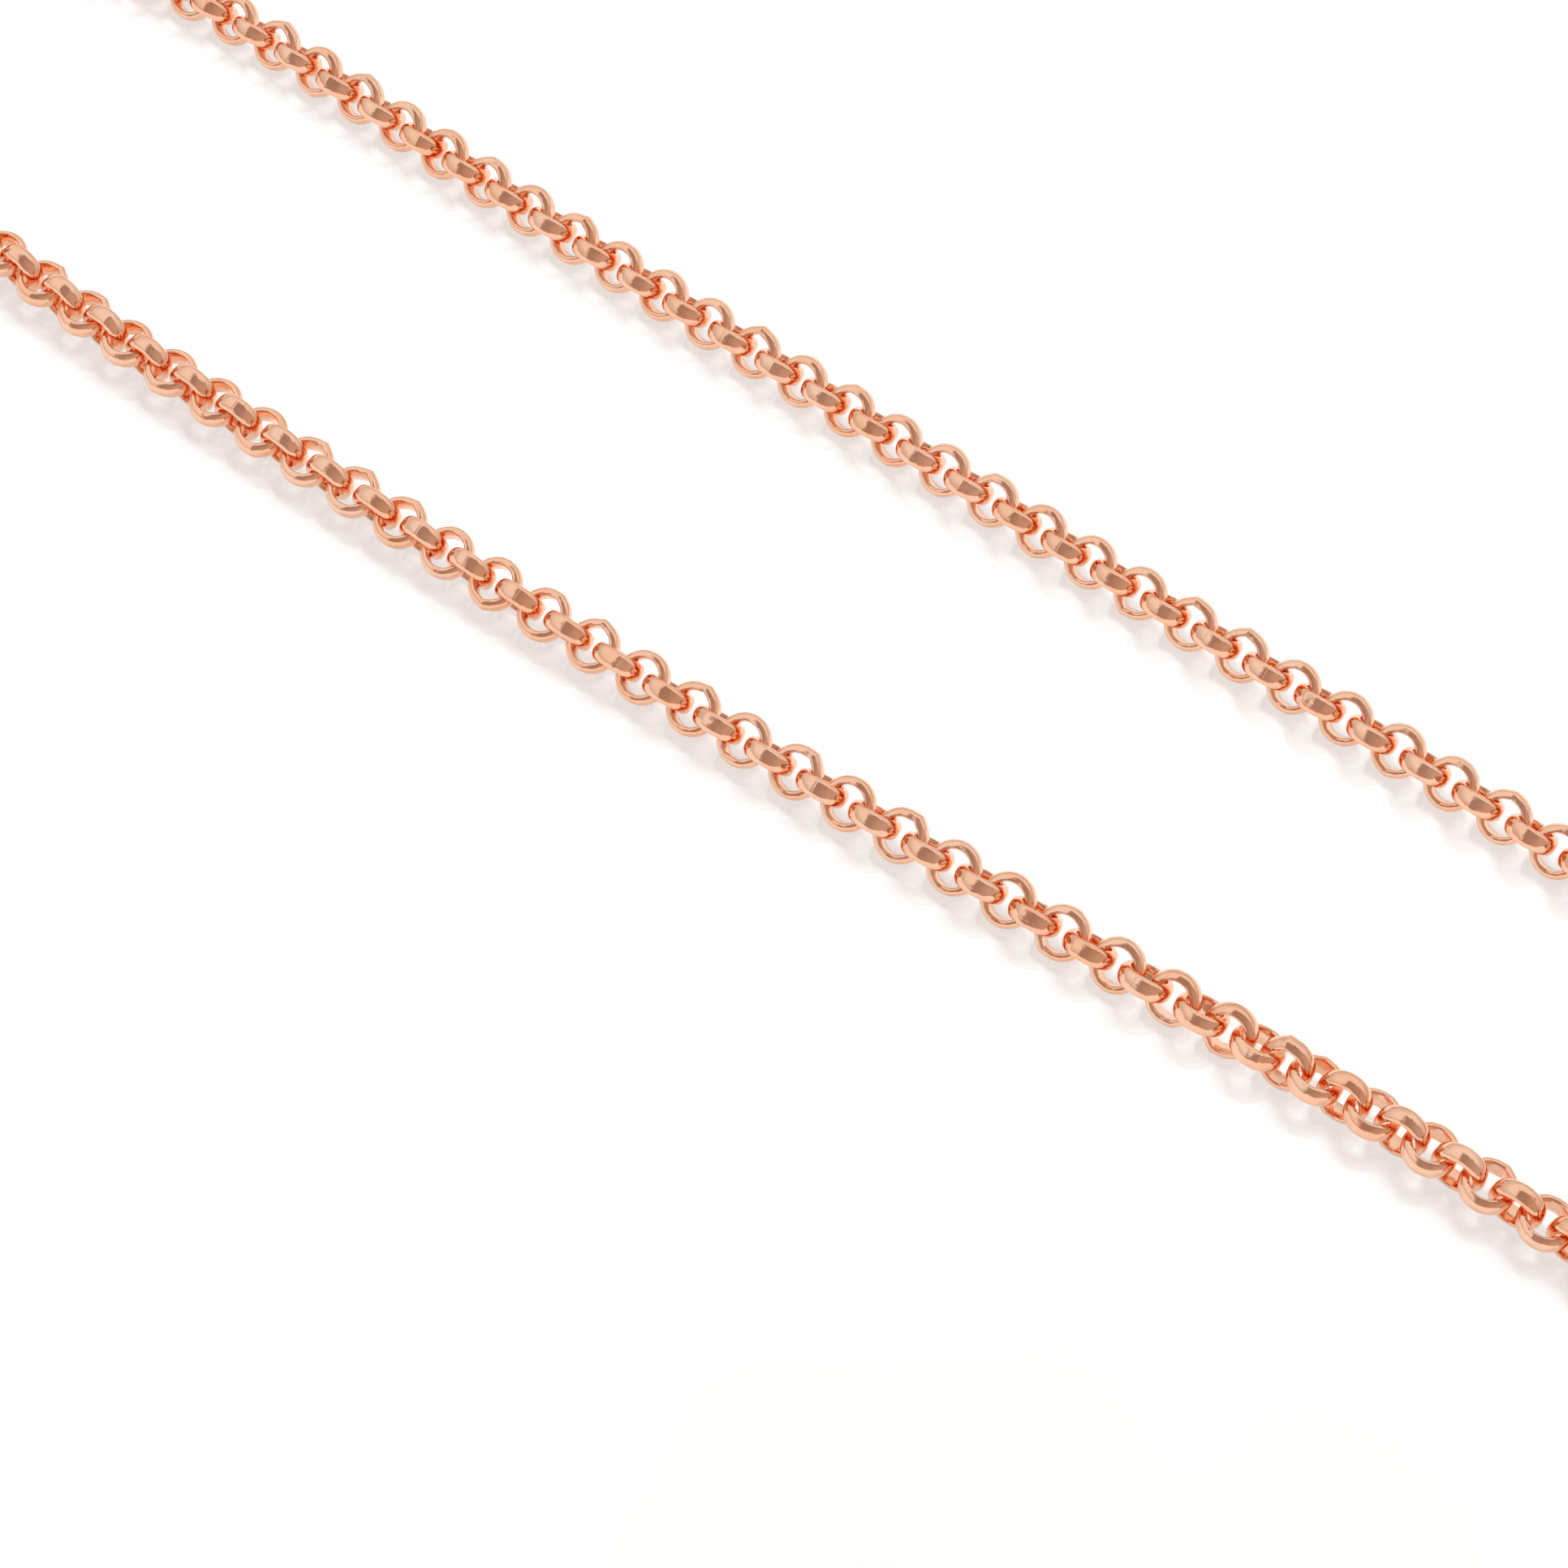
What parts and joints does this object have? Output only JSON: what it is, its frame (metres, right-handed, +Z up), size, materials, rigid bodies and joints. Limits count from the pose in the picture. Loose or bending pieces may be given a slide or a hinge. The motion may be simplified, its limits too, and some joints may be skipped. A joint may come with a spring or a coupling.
{
  "type": "chain necklace",
  "caption": "Belcher chain necklace of round half-round-wire links in polished rose gold, laid open in a long U, with a lobster clasp and an end tag.",
  "frame": {"origin": "on the table, under the middle of the necklace's bounding box", "axes": "+X along the long U, from its turn towards the clasp and tag; +Y across it, from the tag's run to the clasp's run; +Z up from the table"},
  "size_m": [0.2286, 0.0346, 0.005],
  "materials": {
    "chain_gold": "polished rose gold plate",
    "findings_gold": "polished rose gold plate",
    "clasp_gold": "polished rose gold plate",
    "spring_steel": "bright wire"
  },
  "bodies": {
    "chain_01": {"chain_01": "chain_gold"},
    "chain_02": {"chain_02": "chain_gold"},
    "chain_03": {"chain_03": "chain_gold"},
    "chain_04": {"chain_04": "chain_gold"},
    "chain_05": {"chain_05": "chain_gold"},
    "chain_06": {"chain_06": "chain_gold"},
    "chain_07": {"chain_07": "chain_gold"},
    "chain_08": {"chain_08": "chain_gold"},
    "chain_09": {"chain_09": "chain_gold"},
    "chain_10": {"chain_10": "chain_gold"},
    "chain_11": {"chain_11": "chain_gold"},
    "chain_12": {"chain_12": "chain_gold"},
    "chain_13": {"chain_13": "chain_gold"},
    "chain_14": {"chain_14": "chain_gold"},
    "chain_15": {"chain_15": "chain_gold"},
    "chain_16": {"chain_16": "chain_gold"},
    "chain_17": {"chain_17": "chain_gold"},
    "chain_18": {"chain_18": "chain_gold"},
    "chain_19": {"chain_19": "chain_gold"},
    "chain_20": {"chain_20": "chain_gold"},
    "chain_21": {"chain_21": "chain_gold"},
    "chain_22": {"chain_22": "chain_gold"},
    "chain_23": {"chain_23": "chain_gold"},
    "chain_24": {"chain_24": "chain_gold"},
    "chain_25": {"chain_25": "chain_gold"},
    "chain_26": {"chain_26": "chain_gold"},
    "chain_27": {"chain_27": "chain_gold"},
    "chain_28": {"chain_28": "chain_gold"},
    "chain_29": {"chain_29": "chain_gold"},
    "chain_30": {"chain_30": "chain_gold"},
    "chain_31": {"chain_31": "chain_gold"},
    "chain_32": {"chain_32": "chain_gold"},
    "chain_33": {"chain_33": "chain_gold"},
    "chain_34": {"chain_34": "chain_gold"},
    "chain_35": {"chain_35": "chain_gold"},
    "chain_36": {"chain_36": "chain_gold"},
    "chain_37": {"chain_37": "chain_gold"},
    "chain_38": {"chain_38": "chain_gold"},
    "chain_39": {"chain_39": "chain_gold"},
    "chain_40": {"chain_40": "chain_gold"},
    "tag_ring": {"tag_ring": "findings_gold"},
    "end_tag": {"end_tag": "findings_gold"},
    "clasp_ring": {"clasp_ring": "findings_gold"},
    "clasp": {"clasp_body": "clasp_gold", "clasp_rivet": "clasp_gold", "clasp_spring": "spring_steel"},
    "clasp_lever": {"clasp_lever": "clasp_gold"}
  },
  "joints": [
    {"name": "swing_20_21", "type": "hinge", "parent": "chain_21", "child": "chain_20", "pos_m": [-0.1122, -0.00138, 0.00189], "axis": [0.9085, 0.096, -0.4067], "range_deg": [-9, 25]},
    {"name": "swing_19_20", "type": "hinge", "parent": "chain_20", "child": "chain_19", "pos_m": [-0.10694, -0.01059, 0.00196], "axis": [0.1569, 0.1842, 0.9703], "range_deg": [-30, 4]},
    {"name": "swing_18_19", "type": "hinge", "parent": "chain_19", "child": "chain_18", "pos_m": [-0.09684, -0.01414, 0.002], "axis": [-0.0696, -0.9951, 0.0698], "range_deg": [-30, 30]},
    {"name": "swing_17_18", "type": "hinge", "parent": "chain_18", "child": "chain_17", "pos_m": [-0.08579, -0.01483, 0.002], "axis": [0.0006, 0.0105, -0.9999], "range_deg": [-4, 30]},
    {"name": "swing_16_17", "type": "hinge", "parent": "chain_17", "child": "chain_16", "pos_m": [-0.07468, -0.01532, 0.002], "axis": [0.0349, 0.999, 0.0279], "range_deg": [-30, 30]},
    {"name": "swing_15_16", "type": "hinge", "parent": "chain_16", "child": "chain_15", "pos_m": [-0.06355, -0.01548, 0.00199], "axis": [-0.0003, -0.1002, 0.995], "range_deg": [-30, 4]},
    {"name": "swing_14_15", "type": "hinge", "parent": "chain_15", "child": "chain_14", "pos_m": [-0.05243, -0.0155, 0.00197], "axis": [0.0004, -0.9781, -0.2079], "range_deg": [-28, 28]},
    {"name": "swing_13_14", "type": "hinge", "parent": "chain_14", "child": "chain_13", "pos_m": [-0.0413, -0.01546, 0.00192], "axis": [-0.0023, 0.3338, -0.9426], "range_deg": [-6, 30]},
    {"name": "swing_12_13", "type": "hinge", "parent": "chain_13", "child": "chain_12", "pos_m": [-0.03018, -0.01533, 0.00184], "axis": [-0.0139, 0.8828, 0.4695], "range_deg": [-25, 28]},
    {"name": "swing_11_12", "type": "hinge", "parent": "chain_12", "child": "chain_11", "pos_m": [-0.01906, -0.01509, 0.00174], "axis": [0.0159, -0.5964, 0.8026], "range_deg": [-30, 30]},
    {"name": "swing_10_11", "type": "hinge", "parent": "chain_11", "child": "chain_10", "pos_m": [-0.00794, -0.01473, 0.0017], "axis": [0.0268, -0.7684, -0.6394], "range_deg": [-30, 30]},
    {"name": "swing_09_10", "type": "hinge", "parent": "chain_10", "child": "chain_09", "pos_m": [0.00318, -0.01432, 0.00166], "axis": [-0.0265, 0.6751, -0.7373], "range_deg": [-30, 30]},
    {"name": "swing_08_09", "type": "hinge", "parent": "chain_09", "child": "chain_08", "pos_m": [0.01429, -0.01386, 0.00163], "axis": [-0.0296, 0.7065, 0.7071], "range_deg": [-24, 22]},
    {"name": "swing_07_08", "type": "hinge", "parent": "chain_08", "child": "chain_07", "pos_m": [0.02541, -0.01338, 0.00184], "axis": [0.0383, -0.8695, 0.4924], "range_deg": [-7, 28]},
    {"name": "swing_06_07", "type": "hinge", "parent": "chain_07", "child": "chain_06", "pos_m": [0.03652, -0.01292, 0.00198], "axis": [0.0058, -0.185, -0.9827], "range_deg": [-11, 22]},
    {"name": "swing_05_06", "type": "hinge", "parent": "chain_06", "child": "chain_05", "pos_m": [0.04765, -0.01275, 0.002], "axis": [-0.0044, 1, 0], "range_deg": [-30, 30]},
    {"name": "swing_04_05", "type": "hinge", "parent": "chain_05", "child": "chain_04", "pos_m": [0.05877, -0.01272, 0.002], "axis": [0, 0, 1], "range_deg": [-30, 15]},
    {"name": "swing_03_04", "type": "hinge", "parent": "chain_04", "child": "chain_03", "pos_m": [0.0699, -0.01261, 0.002], "axis": [0.0131, -0.9999, 0], "range_deg": [-30, 30]},
    {"name": "swing_02_03", "type": "hinge", "parent": "chain_03", "child": "chain_02", "pos_m": [0.08102, -0.01242, 0.002], "axis": [0, 0, -1], "range_deg": [-25, 30]},
    {"name": "swing_01_02", "type": "hinge", "parent": "chain_02", "child": "chain_01", "pos_m": [0.09214, -0.01215, 0.002], "axis": [-0.0276, 0.9996, 0], "range_deg": [-30, 30]},
    {"name": "swing_21_22", "type": "hinge", "parent": "chain_21", "child": "chain_22", "pos_m": [-0.11033, 0.00789, 0.00182], "axis": [0.7537, -0.4145, -0.51], "range_deg": [-30, 16]},
    {"name": "swing_22_23", "type": "hinge", "parent": "chain_22", "child": "chain_23", "pos_m": [-0.10192, 0.01437, 0.00171], "axis": [0.2032, -0.5956, 0.7771], "range_deg": [-20, 30]},
    {"name": "swing_23_24", "type": "hinge", "parent": "chain_23", "child": "chain_24", "pos_m": [-0.0911, 0.01545, 0.00163], "axis": [-0.0164, 0.7028, 0.7112], "range_deg": [-30, 30]},
    {"name": "swing_24_25", "type": "hinge", "parent": "chain_24", "child": "chain_25", "pos_m": [-0.07997, 0.01539, 0.00167], "axis": [0.0207, 0.7429, -0.6691], "range_deg": [-30, 30]},
    {"name": "swing_25_26", "type": "hinge", "parent": "chain_25", "child": "chain_26", "pos_m": [-0.06886, 0.01498, 0.00167], "axis": [-0.0271, -0.6686, -0.7431], "range_deg": [-30, 30]},
    {"name": "swing_26_27", "type": "hinge", "parent": "chain_26", "child": "chain_27", "pos_m": [-0.05774, 0.01458, 0.00167], "axis": [-0.0233, -0.7428, 0.6691], "range_deg": [-30, 30]},
    {"name": "swing_27_28", "type": "hinge", "parent": "chain_27", "child": "chain_28", "pos_m": [-0.04662, 0.01433, 0.00167], "axis": [0.0107, 0.669, 0.7431], "range_deg": [-30, 30]},
    {"name": "swing_28_29", "type": "hinge", "parent": "chain_28", "child": "chain_29", "pos_m": [-0.03549, 0.01421, 0.00167], "axis": [0.007, 0.7431, -0.6691], "range_deg": [-30, 30]},
    {"name": "swing_29_30", "type": "hinge", "parent": "chain_29", "child": "chain_30", "pos_m": [-0.02437, 0.01409, 0.00167], "axis": [-0.0086, -0.6691, -0.7431], "range_deg": [-30, 30]},
    {"name": "swing_30_31", "type": "hinge", "parent": "chain_30", "child": "chain_31", "pos_m": [-0.01324, 0.01391, 0.00167], "axis": [-0.0125, -0.743, 0.6691], "range_deg": [-30, 30]},
    {"name": "swing_31_32", "type": "hinge", "parent": "chain_31", "child": "chain_32", "pos_m": [-0.00212, 0.01375, 0.00167], "axis": [0.007, 0.6691, 0.7431], "range_deg": [-30, 30]},
    {"name": "swing_32_33", "type": "hinge", "parent": "chain_32", "child": "chain_33", "pos_m": [0.009, 0.01373, 0.00167], "axis": [-0.0016, 0.7431, -0.6691], "range_deg": [-30, 30]},
    {"name": "swing_33_34", "type": "hinge", "parent": "chain_33", "child": "chain_34", "pos_m": [0.02013, 0.01375, 0.00167], "axis": [-0.0018, -0.6691, -0.7431], "range_deg": [-30, 30]},
    {"name": "swing_34_35", "type": "hinge", "parent": "chain_34", "child": "chain_35", "pos_m": [0.03125, 0.0136, 0.00167], "axis": [-0.0169, -0.743, 0.6691], "range_deg": [-30, 30]},
    {"name": "swing_35_36", "type": "hinge", "parent": "chain_35", "child": "chain_36", "pos_m": [0.04237, 0.01324, 0.00169], "axis": [0.0284, 0.7573, 0.6525], "range_deg": [-30, 22]},
    {"name": "swing_36_37", "type": "hinge", "parent": "chain_36", "child": "chain_37", "pos_m": [0.05349, 0.01279, 0.00181], "axis": [0.023, 0.524, -0.8514], "range_deg": [-28, 28]},
    {"name": "swing_37_38", "type": "hinge", "parent": "chain_37", "child": "chain_38", "pos_m": [0.0646, 0.01226, 0.0019], "axis": [-0.0465, -0.9224, -0.3834], "range_deg": [-24, 30]},
    {"name": "swing_38_39", "type": "hinge", "parent": "chain_38", "child": "chain_39", "pos_m": [0.07571, 0.01166, 0.00197], "axis": [-0.0132, -0.2323, 0.9726], "range_deg": [-28, 28]},
    {"name": "swing_39_40", "type": "hinge", "parent": "chain_39", "child": "chain_40", "pos_m": [0.08681, 0.01099, 0.00199], "axis": [0.063, 0.993, 0.0996], "range_deg": [-30, 30]},
    {"name": "tag_ring_turn", "type": "hinge", "parent": "chain_01", "child": "tag_ring", "pos_m": [0.10509, -0.01174, 0.0025], "axis": [-0.0349, 0.9994, 0], "range_deg": [-30, 10]},
    {"name": "tag_swing", "type": "hinge", "parent": "tag_ring", "child": "end_tag", "pos_m": [0.10698, -0.01167, 0.0016], "axis": [0, 0, 1], "range_deg": [-40, 40]},
    {"name": "clasp_ring_turn", "type": "hinge", "parent": "chain_40", "child": "clasp_ring", "pos_m": [0.09973, 0.01012, 0.0025], "axis": [0.0698, 0.9976, 0], "range_deg": [-30, 22]},
    {"name": "clasp_swing", "type": "hinge", "parent": "clasp_ring", "child": "clasp", "pos_m": [0.10163, 0.00999, 0.0016], "axis": [0, 0, 1], "range_deg": [-40, 40]},
    {"name": "lever_open", "type": "hinge", "parent": "clasp", "child": "clasp_lever", "pos_m": [0.10596, 0.00808, 0.0016], "axis": [0, 0, 1], "range_deg": [0, 28], "stiffness_Nm_per_rad": 0.0002, "springref_deg": -20.05, "deforming": ["clasp_spring"]}
  ]
}
